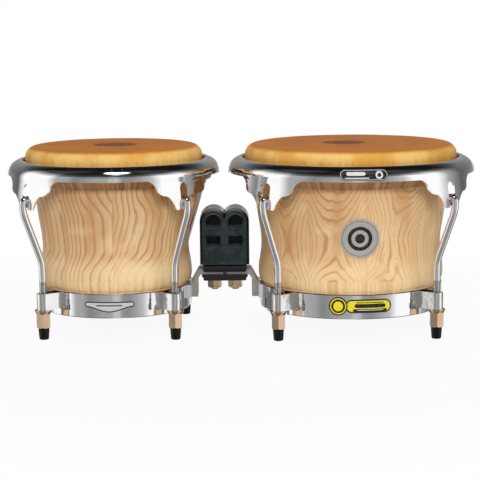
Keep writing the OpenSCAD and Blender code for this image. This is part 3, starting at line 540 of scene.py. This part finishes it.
for part in frame["record"]["subparts"]:
    o = NODES[part["node"]]
    mat = MATS[part["material_slot"]]
    if not o.material_slots:
        o.data.materials.append(mat)
    for s in o.material_slots:
        s.material = mat


# ---------------------------------------------------------------- mesh helpers

def make(name, verts, faces, mat, body, slot):
    """A smooth mesh piece."""
    me = bpy.data.meshes.new(name)
    me.from_pydata([tuple(v) for v in verts], [], faces)
    me.validate()
    me.update()
    o = bpy.data.objects.new(name, me)
    bpy.context.scene.collection.objects.link(o)
    o.data.materials.append(mat)
    me.shade_smooth()
    if body:
        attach(o, body)
    return o


def circle(r, n=48):
    """The n corners (x, y) of a circle."""
    return [(r * math.cos(2 * math.pi * k / n), r * math.sin(2 * math.pi * k / n)) for k in range(n)]


def between(a, b, n, turned=False):
    """Faces between two rings of n vertices that start at a and b. Turned ones face the other way."""
    pairs = [(k, (k + 1) % n) for k in range(n)]
    if turned:
        return [[a + p, a + q, b + q, b + p] for p, q in pairs]
    return [[a + p, b + p, b + q, a + q] for p, q in pairs]


def lathe(profile, cx, n=240):
    """Rings of a profile [(r, z)] in metres about a drum's axis. A radius of 0 closes to one point."""
    verts, faces, rows = [], [], []
    for r, z in profile:
        if r < 1e-7:
            rows.append([len(verts)] * n)
            verts.append((cx, 0, z))
        else:
            rows.append(list(range(len(verts), len(verts) + n)))
            verts += [(cx + x, y, z) for x, y in circle(r, n)]
    for a, b in zip(rows, rows[1:]):
        for k in range(n):
            f = [a[k], b[k], b[(k + 1) % n], a[(k + 1) % n]]
            f = [v for i, v in enumerate(f) if v not in f[:i]]
            if len(f) > 2:
                faces.append(f[::-1])
    return verts, faces


def blob(verts, faces, at, size, rng, n=10):
    """Adds a small lump of weld at a point, squashed and uneven."""
    base = len(verts)
    for i in range(n // 2 + 1):
        lat = math.pi * i / (n // 2)
        for k in range(n):
            lon = 2 * math.pi * k / n
            j = 1 + 0.12 * rng.uniform(-1, 1)
            d = Vector((math.sin(lat) * math.cos(lon), math.sin(lat) * math.sin(lon), math.cos(lat)))
            verts.append(at + Vector((d.x * size[0], d.y * size[1], d.z * size[2])) * j)
    for i in range(n // 2):
        faces.extend(between(base + i * n, base + (i + 1) * n, n))


# ---------------------------------------------------------------- heads

HEM_OUT = 0.3 * MM         # the lapped edge stands this far out from the hide's side
UNDERSIDE = 1.15 * MM      # depth below the top at which the hide is seen from inside the shell
BEND_ANGLES = [math.pi / 2 * k / 14 for k in range(1, 15)]
HOOP_ANGLES = [math.pi * (1 + k / 10) for k in range(17)]

for d in DRUMS:
    cx, hr = AXIS_X[d], HEAD_R[d]
    bend = SKIN_Z - HEAD_LOW_Z
    flat = hr - bend
    hoop_x = hr + HEM_OUT + TUCK_R
    # the flat top, its round bend, the side, and the hem rolled round the flesh hoop
    prof = [(0, SKIN_Z)] + [(flat * k / 10, SKIN_Z) for k in range(1, 11)]
    prof += [(flat + bend * math.sin(a), HEAD_LOW_Z + bend * math.cos(a)) for a in BEND_ANGLES]
    prof += [(hr, HEAD_LOW_Z - 1.5 * MM), (hr, HEAD_LOW_Z - 3 * MM)]
    prof += [(hr + 0.1 * MM, TUCK_Z + 3.6 * MM), (hr + HEM_OUT, TUCK_Z + 1 * MM)]
    prof += [(hoop_x + TUCK_R * math.cos(a), TUCK_Z + TUCK_R * math.sin(a)) for a in HOOP_ANGLES]
    v, f = lathe(prof, cx)
    under = SKIN_Z - UNDERSIDE
    v2, f2 = lathe([(flat + 0.5 * MM, under), (flat * 0.5, under), (0, under)], cx, 120)
    f += [[i + len(v) for i in g] for g in f2]
    v += v2
    o = make(d + "_hide", v, f, MATS[d + "_skin"], None, d + "_skin")
    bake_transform(o)
    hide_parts(d + "_head", d + "_skin_side", d + "_skin_tuck")

# ---------------------------------------------------------------- rods

# Lengths in mm, as in the CAD. A rod is cranked outwards by two equal bends with a slope between.
ROD = 3.5
BEND = 35.0
SLOPE = math.radians(22)
PLATE_FLARE, HALF_PLATE = 2.4, 1.1
HOOK_R, HOOK_TIP = 4.9, 5.5
END_CHAMFER = 0.8
THREAD_TOP, THREAD_DEPTH, THREAD_FADE = 58.5, 0.34, 1.5
THREAD_STEP = 1 / 6        # six rings to each turn of the thread, which rises 1 mm


def rod_path(low_r, top_r, hook_z, end_z):
    """Centre line [(r, z, tilt)] in the lug's plane, from the threaded end up to the hook's tip."""
    run = top_r - low_r - 2 * BEND * (1 - math.cos(SLOPE))
    low_z = hook_z - 2 * BEND * math.sin(SLOPE) - run / math.tan(SLOPE)
    pts = []
    z = end_z
    while z < THREAD_TOP + 1:
        pts.append((low_r, z, 0.0))
        z += THREAD_STEP
    pts += [(low_r, 60.0, 0.0), (low_r, low_z, 0.0)]
    for k in range(1, 9):
        a = SLOPE * k / 8
        pts.append((low_r + BEND * (1 - math.cos(a)), low_z + BEND * math.sin(a), a))
    for k in range(9):
        a = SLOPE * (1 - k / 8)
        pts.append((top_r - BEND * (1 - math.cos(a)), hook_z - BEND * math.sin(a), a))
    c = top_r - HOOK_R
    for k in range(1, 17):
        a = math.pi * k / 16
        pts.append((c + HOOK_R * math.cos(a), hook_z + HOOK_R * math.sin(a), -a))
    # the last two points are the chamfer on the hook's tip
    full = HOOK_TIP - END_CHAMFER
    return pts + [(c - HOOK_R, hook_z - down, -math.pi) for down in (full * 0.5, full, HOOK_TIP)]


def rod_radius(z, end_z, turn):
    """A rod's radius in mm at a height and a share of a turn: a thread low down, with a chamfered end."""
    if z >= THREAD_TOP:
        return ROD
    phase = (z + turn) % 1.0
    depth = THREAD_DEPTH * abs(2 * phase - 1) * min(1.0, (THREAD_TOP - z) / THREAD_FADE)
    return min(ROD - depth, ROD - END_CHAMFER + (z - end_z))


def rod_mesh(path, cx, az, n=24):
    """A rod swept along its centre line in the plane at azimuth az."""
    verts, faces = [], []
    er = Vector((math.cos(az), math.sin(az), 0))
    et = Vector((-math.sin(az), math.cos(az), 0))
    last = len(path) - 1
    end_z = path[0][1]
    for i, (r, z, t) in enumerate(path):
        nrm = er * math.cos(t) - Vector((0, 0, 1)) * math.sin(t)
        c = er * (r * MM) + Vector((cx, 0, z * MM))
        for k in range(n):
            a = 2 * math.pi * k / n
            rad = ROD - END_CHAMFER if i == last else rod_radius(z, end_z, k / n)
            verts.append(c + (nrm * math.cos(a) + et * math.sin(a)) * (rad * MM))
    for i in range(last):
        faces += between(i * n, (i + 1) * n, n, turned=True)
    faces.append(list(range(n))[::-1])
    faces.append([last * n + k for k in range(n)])
    return verts, faces


for d in DRUMS:
    for i in range(1, 5):
        low_r, az = lug(d, i)
        node = f"{d}_rod_{i}"
        a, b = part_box(node)
        # the hook is centred on the flared edge of the rim's plate
        top_r = RIM_R[d] * 1000 + PLATE_FLARE - HALF_PLATE + HOOK_R
        path = rod_path(low_r * 1000, top_r, b.z * 1000 - ROD - HOOK_R, a.z * 1000)
        v, f = rod_mesh(path, AXIS_X[d], az)
        o = make(f"{d}_tuning_rod_{i}", v, f, MATS["rod_chrome"], d + "_rim_set", "rod_chrome")
        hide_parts(node)

# ---------------------------------------------------------------- welds on the bracket ears

# Each end of a bracket has an upright weld of uneven lumps, the lower ones wider. Lengths in mm.
WELD_OUT, EAR_T = 17.0, 2.2              # from the lug's plane to the bracket's end, and its thickness
LUMPS, WIDE_LUMPS = 7, 4
LOWEST, LUMP_STEP = 0.6, 1.45            # height of the first lump's middle above the bracket's foot
WIDE, NARROW, LUMP_H = 1.7, 1.0, 1.15    # half sizes of a lump
PAST_END, PROUD, WANDER = 0.2, 0.5, 0.25

rng = random.Random(7)
weld = metal("weld_steel", lin(176, 172, 166), 0.22, 0.3, 0.2, wave_scale=0.4)
for d in DRUMS:
    cx = AXIS_X[d]
    rr = RING_R[d]
    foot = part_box(d + "_brackets")[0].z
    verts, faces = [], []
    for i in range(1, 5):
        _, az = lug(d, i)
        for s in (-1, 1):
            half = math.asin(WELD_OUT * MM / (rr + EAR_T * MM)) * s
            for k in range(LUMPS):
                z = foot + (LOWEST + k * LUMP_STEP) * MM
                a = az + half + s * PAST_END * MM / rr + rng.uniform(-1, 1) * WANDER * MM / rr
                at = Vector((cx + (rr + PROUD * MM) * math.cos(a), (rr + PROUD * MM) * math.sin(a), z))
                w = (WIDE if k < WIDE_LUMPS else NARROW) * MM
                blob(verts, faces, at, (w, w, LUMP_H * MM), rng)
    make(d + "_welds", verts, faces, weld, "frame", "bracket_chrome")

# ---------------------------------------------------------------- labels


def shape_pill(w, h, n=14):
    """Outline of a bar with round ends, in mm."""
    r = h / 2
    pts = []
    for cx, a0 in ((w / 2 - r, -90), (r - w / 2, 90)):
        for k in range(n + 1):
            a = math.radians(a0 + 180 * k / n)
            pts.append((cx + r * math.cos(a), r * math.sin(a)))
    return pts


def shape_shield(w, h, n=8):
    """A narrow pill whose lower edge swings down in the middle."""
    r = h * 0.27
    pts = shift(shape_pill(w, 2 * r, n), 0.0, h / 2 - r)
    reach, drop = w / 2 * 0.82, h - 2 * r
    for k in range(-9, 10):
        x = reach * k / 10
        pts.append((x, h / 2 - 2 * r - drop * (0.5 + 0.5 * math.cos(math.pi * x / reach)) ** 0.7))
    return pts


def dense(pts, step=1.2):
    """Adds points along the long edges, so that they follow a curved surface."""
    out = []
    for p, q in zip(pts, pts[1:] + pts[:1]):
        n = max(1, math.ceil(math.dist(p, q) / step))
        out += [(p[0] + (q[0] - p[0]) * k / n, p[1] + (q[1] - p[1]) * k / n) for k in range(n)]
    return out


def inset(pts, m):
    """Moves a closed outline inwards by m."""
    out = []
    n = len(pts)
    for i in range(n):
        p, q, r = Vector(pts[i - 1]), Vector(pts[i]), Vector(pts[(i + 1) % n])
        e = (r - p)
        e.normalize()
        out.append((q.x - e.y * m, q.y + e.x * m))
    return out


def shift(pts, du, dv):
    """Moves an outline sideways and up."""
    return [(p[0] + du, p[1] + dv) for p in pts]


def front_az(drum, x_mm, radius):
    """Azimuth of the point on a drum's front that lies at x."""
    return -math.pi / 2 + math.asin((x_mm * MM - AXIS_X[drum]) / radius)


def on_drum(cx, az, zc, radius_at, lift):
    """Maps (u, v) in mm on a label to a point on a drum's outside."""
    def f(u, v):
        z = zc + v * MM
        r = radius_at(z) + lift * MM
        a = az + u * MM / r
        return Vector((cx + r * math.cos(a), r * math.sin(a), z))
    return f


def decal(name, pts, at, mat, body, slot):
    """A filled outline on a curved surface, as rings from its middle out."""
    rings = 6
    cu = sum(p[0] for p in pts) / len(pts)
    cv = sum(p[1] for p in pts) / len(pts)
    n = len(pts)
    verts = [at(cu, cv)]
    for k in range(1, rings + 1):
        verts += [at(cu + (p[0] - cu) * k / rings, cv + (p[1] - cv) * k / rings) for p in pts]
    faces = [[0, 1 + i, 1 + (i + 1) % n] for i in range(n)]
    for k in range(rings - 1):
        faces += between(1 + k * n, 1 + (k + 1) * n, n)
    return make(name, verts, faces, mat, body, slot)


def strip(name, outer, inner, at, mat, body, slot):
    """The band between two outlines with as many points each."""
    n = len(outer)
    verts = [at(*p) for p in outer] + [at(*p) for p in inner]
    return make(name, verts, between(0, n, n, turned=True), mat, body, slot)


class Label:
    """Prints flat shapes on a drum's outside, about the point whose x and height are given in mm."""

    def __init__(self, drum, x, z, radius, radius_at, body, slot):
        self.place = AXIS_X[drum], front_az(drum, x, radius), z * MM, radius_at
        self.body, self.slot = body, slot

    def fill(self, name, pts, lift, mat):
        """Fills an outline, lift mm above the surface."""
        decal(name, pts, on_drum(*self.place, lift), mat, self.body, self.slot)

    def line(self, name, outer, inner, lift, mat):
        """Fills what lies between two outlines."""
        strip(name, outer, inner, on_drum(*self.place, lift), mat, self.body, self.slot)


BLACK_INK = paint("black_ink", (*grey(0.008), 1), 0.3)
YELLOW = paint("yellow_label", lin(255, 234, 24), 0.35)
SILVER = paint("silver_label", lin(224, 224, 222), 0.25)
PLATE = paint("plate_silver", lin(214, 214, 216), 0.3)
SEAM = paint("seam_shade", lin(112, 112, 114), 0.4)


def ring_at(drum):
    """A bottom ring's outside is upright."""
    return lambda z: RING_R[drum]


# small drum's ring: a bare plate drawn as an outline
plate = dense(shape_shield(50.0, 10.4))
ring = Label("macho", -130.6, 34.2, RING_R["macho"], ring_at("macho"), "frame", "ring_chrome")
ring.line("macho_plate_line", plate, inset(plate, 1.1), 0.16, BLACK_INK)
ring.fill("macho_plate_face", inset(plate, 1.0), 0.12, PLATE)
ring.fill("macho_plate_bar", shift(dense(shape_pill(26.0, 1.1, 4)), 0.0, 1.4), 0.20, BLACK_INK)

# large drum's ring: a bare yellow label with a disc at its left end
pill = shift(dense(shape_pill(46.0, 13.4)), 1.0, 0)
disc = shift(circle(9.2), -28.8, 0)
ring = Label("hembra", 121.6, 35.9, RING_R["hembra"], ring_at("hembra"), "frame", "ring_chrome")
ring.fill("hembra_label_edge", pill, 0.08, BLACK_INK)
ring.fill("hembra_label_face", inset(pill, 1.4), 0.14, YELLOW)
ring.fill("hembra_disc_edge", disc, 0.21, BLACK_INK)
ring.fill("hembra_disc_face", inset(disc, 1.3), 0.27, YELLOW)
ring.line("hembra_disc_ring", inset(disc, 2.4), inset(disc, 4.4), 0.33, BLACK_INK)
# its bars: height on the label, length, thickness, ink, lift
for k, (v0, w, h, ink, lift) in enumerate((
        (3.5, 27.0, 0.9, BLACK_INK, 0.20), (0.3, 31.0, 3.9, BLACK_INK, 0.20),
        (-4.1, 34.0, 2.8, BLACK_INK, 0.20), (-3.9, 26.0, 0.7, SILVER, 0.26))):
    ring.fill(f"hembra_label_bar_{k}", shift(dense(shape_pill(w, h, 4)), 2.6, v0), lift, ink)

# The rounded top of a rim's outside, in metres.
RIM_SIDE_IN = 0.1 * MM
RIM_ROLL_H, RIM_ROLL_W, RIM_POWER = 13.2 * MM, 12.6 * MM, 1.85


def rim_at(drum):
    """Radius of a rim's outside by height: upright, then rounded in towards the top."""
    side = RIM_R[drum] - RIM_SIDE_IN
    roll_z = RIM_TOP_Z - RIM_ROLL_H

    def radius(z):
        if z <= roll_z:
            return side
        p = min((z - roll_z) / RIM_ROLL_H, 1.0)
        return side - RIM_ROLL_W + RIM_ROLL_W * (1 - p ** RIM_POWER) ** (1 / RIM_POWER)
    return radius


# large drum's rim: a bare black pill with silver bars and a ring
pill = dense(shape_pill(46.0, 10.6))
rim = Label("hembra", 115.4, 167.0, RIM_R["hembra"], rim_at("hembra"), "hembra_rim_set", "rim_chrome")
rim.fill("rim_pill_face", pill, 0.10, BLACK_INK)
rim.line("rim_pill_line", inset(pill, 0.7), inset(pill, 1.15), 0.16, SILVER)
for name, w, h, du, dv in (("bar", 18.0, 3.4, -7.5, 1.2), ("bar_low", 23.0, 1.1, -6.5, -2.8)):
    rim.fill("rim_pill_" + name, shift(dense(shape_pill(w, h, 6)), du, dv), 0.17, SILVER)
rim.fill("rim_pill_dot", shift(circle(3.7, 24), 14.6, 0), 0.17, SILVER)
rim.fill("rim_pill_eye", shift(circle(1.8, 24), 14.6, 0), 0.22, BLACK_INK)

# small drum's rim: the two fine lines of its welded seam
line = dense([(-0.2, -6.0), (0.2, -6.0), (0.2, 6.0), (-0.2, 6.0)])
for k, x_seam in enumerate((-122.7, -112.2)):
    rim = Label("macho", x_seam, 166.5, RIM_R["macho"], rim_at("macho"), "macho_rim_set", "rim_chrome")
    rim.fill(f"macho_rim_seam_{k}", line, 0.10, SEAM)

# ---------------------------------------------------------------- badge print

# Height and radius in mm of the large shell's outside, from its foot up to its shoulder.
SHELL_CURVE = [(47.1, 90.7), (59.0, 93.95), (86.0, 91.0), (134.0, 96.05)]
BADGE_R = 92.5 * MM        # the shell's radius behind the badge's middle
BADGE_LIFT = 0.90


def shell_r(z):
    """Radius of the large shell's outside by height, in metres."""
    z = z / MM
    for (z0, r0), (z1, r1) in zip(SHELL_CURVE, SHELL_CURVE[1:]):
        if z <= z1:
            t = (z - z0) / (z1 - z0)
            s = (1 - math.cos(math.pi * t)) / 2
            return (r0 + (r1 - r0) * s) * MM
    return SHELL_CURVE[-1][1] * MM


lo_b, hi_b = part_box("shell_badge")
badge_x, badge_z = (lo_b.x + hi_b.x) / 2 / MM, (lo_b.z + hi_b.z) / 2 / MM
badge = Label("hembra", badge_x, badge_z, BADGE_R, shell_r, "frame", "badge_metal")
# a plain mark: a thin edge line, a ring and a solid centre
for name, r1, r2 in (("badge_edge", 17.5, 17.1), ("badge_ring", 12.0, 8.4)):
    badge.line(name, circle(r1, 72), circle(r2, 72), BADGE_LIFT, BLACK_INK)
badge.fill("badge_centre", circle(4.8, 36), BADGE_LIFT, BLACK_INK)

# ---------------------------------------------------------------- stage, light, camera


class Surround(Nodes):
    """Nodes of the world or the floor, which the camera sees as white."""

    def white_to_camera(self, share, lit, out):
        path = self.node("LightPath")
        flat = self.node("Emission" if out == "OutputMaterial" else "Background", {0: (1, 1, 1, 1), 1: 1.0})
        fac = self.mul(path.outputs["Is Camera Ray"], share)
        both = self.node("MixShader", {0: fac, 1: lit, 2: flat.outputs[0]})
        self.node(out, {0: both.outputs[0]})


# The floor keeps a faint shadow near the object and turns plain white further out.
FLOOR_HALF, FLOOR_Z = 30.0, -0.0002
SHADOW_IN, SHADOW_OUT = 320.0, 620.0     # mm from the frame's origin
NEAR_WHITE = 0.93                        # share of plain white near the object
floor_look = bpy.data.materials.new("floor")
st = Surround(floor_look)
x, y, _ = st.xyz()
ground = st.node("BsdfDiffuse", {0: (*grey(0.86), 1)})
white = st.range(st.length(x, y), SHADOW_IN, SHADOW_OUT, NEAR_WHITE, 1.0)
st.white_to_camera(white, ground.outputs[0], "OutputMaterial")
me = bpy.data.meshes.new("floor")
corners = ((-1, -1), (1, -1), (1, 1), (-1, 1))
me.from_pydata([(FLOOR_HALF * i, FLOOR_HALF * j, FLOOR_Z) for i, j in corners], [], [[0, 1, 2, 3]])
me.materials.append(floor_look)
floor = bpy.data.objects.new("floor", me)
bpy.context.scene.collection.objects.link(floor)
floor.visible_glossy = False

# A studio round the object: its brightness by azimuth, in degrees. Azimuth 0 is towards the camera,
# positive towards the large drum: soft boxes at both sides, grey between them, dark flags behind them,
# white backdrop at the back.
FRONT_WALL = [(-119, 0.12), (-108, 1.15), (-72, 1.15), (-62, 0.46), (-50, 0.42), (-38, 0.27), (-18, 0.40),
              (-4, 0.42), (0, 0.60), (7, 0.60), (12, 0.33), (22, 0.30), (34, 0.42), (46, 0.62), (56, 1.15),
              (84, 1.15), (98, 0.40), (118, 0.12)]
BACK_LOW = [(150, 0.30), (167, 1.0), (180, 1.0)]
BACK_HIGH = [(150, 0.22), (167, 0.30), (180, 0.30)]
# How it changes with the elevation.
RISE = [(-90, 0.55), (-60, 0.60), (-45, 0.62), (-30, 0.70), (-20, 0.95), (26, 1.0), (36, 0.36), (47, 0.05),
        (90, 0.03)]
# A soft round lamp, high in front: a white glint on the rims' rolls and on every glossy edge.
LAMP_AZ, LAMP_EL = math.radians(9), math.radians(66)
LAMP_CORE, LAMP_EDGE, LAMP_GLOW = math.radians(4), math.radians(11), 5.0

world = bpy.data.worlds.new("studio")
bpy.context.scene.world = world
sk = Surround(world)
x, y, z = sk.xyz(sk.node("TexCoord").outputs["Generated"])
turn = sk.range(sk.math("ARCTAN2", x, sk.mul(y, -1.0)), -math.pi, math.pi, smooth=False)
lift = sk.math("ARCSINE", z)


def wall_ramp(back):
    """The wall's brightness all round, with the given backdrop behind the object."""
    stops = [(-a, v) for a, v in reversed(back)] + FRONT_WALL + back
    return sk.ramp(turn, [((a + 180) / 360, grey(v)) for a, v in stops])


low, high = wall_ramp(BACK_LOW), wall_ramp(BACK_HIGH)
wall = sk.mix(sk.range(lift, math.radians(1), math.radians(5)), low, high)
up = sk.range(lift, -math.pi / 2, math.pi / 2, smooth=False)
height = sk.ramp(up, [((e + 90) / 180, grey(v)) for e, v in RISE])
walls = sk.mix(1.0, wall, height, "MULTIPLY")
aim = (math.sin(LAMP_AZ) * math.cos(LAMP_EL), -math.cos(LAMP_AZ) * math.cos(LAMP_EL), math.sin(LAMP_EL))
facing = sk.node("VectorMath", {0: sk.vec(x, y, z), 1: aim}, operation="DOT_PRODUCT").outputs["Value"]
lamp_glow = sk.range(facing, math.cos(LAMP_EDGE), math.cos(LAMP_CORE), 0.0, LAMP_GLOW)
glow = sk.vec(lamp_glow, lamp_glow, lamp_glow)
light = sk.node("VectorMath", {0: walls, 1: glow}, operation="ADD").outputs["Vector"]
studio = sk.node("Background", {0: light, 1: 1.0})
sk.white_to_camera(1.0, studio.outputs[0], "OutputWorld")


def area(name, loc, target, size, power):
    """A rectangular lamp, kept out of reflections."""
    li = bpy.data.lights.new(name, "AREA")
    li.shape = "RECTANGLE"
    li.size, li.size_y = size
    li.energy = power
    o = bpy.data.objects.new(name, li)
    bpy.context.scene.collection.objects.link(o)
    o.location = loc
    o.rotation_euler = (Vector(target) - Vector(loc)).to_track_quat("-Z", "Y").to_euler()
    o.visible_glossy = False


area("key", loc=(0.04, -1.62, 0.80), target=(0, 0, 0.13), size=(0.62, 0.20), power=12)
area("top", loc=(0.0, 0.1, 1.9), target=(0, 0, 0.1), size=(1.4, 1.0), power=9)
area("fill", loc=(0.1, 1.70, 0.75), target=(0, 0, 0.13), size=(0.9, 0.4), power=12)

CAMERA_AT = (-0.0017, -1.6, 0.32513)
PITCH, ROLL = math.radians(8.4167), math.radians(0.5674)
cam = bpy.data.cameras.new("cam")
cam.sensor_width = 36.0
cam.lens = 118.49
cam.clip_end = 50
co = bpy.data.objects.new("cam", cam)
bpy.context.scene.collection.objects.link(co)
bpy.context.scene.camera = co
co.location = CAMERA_AT
down = Matrix.Rotation(math.pi / 2 - PITCH, 3, "X")
co.rotation_euler = (down @ Matrix.Rotation(-ROLL, 3, "Z")).to_euler()

bpy.context.scene.view_settings.view_transform = "Standard"
bpy.context.scene.view_settings.look = "None"
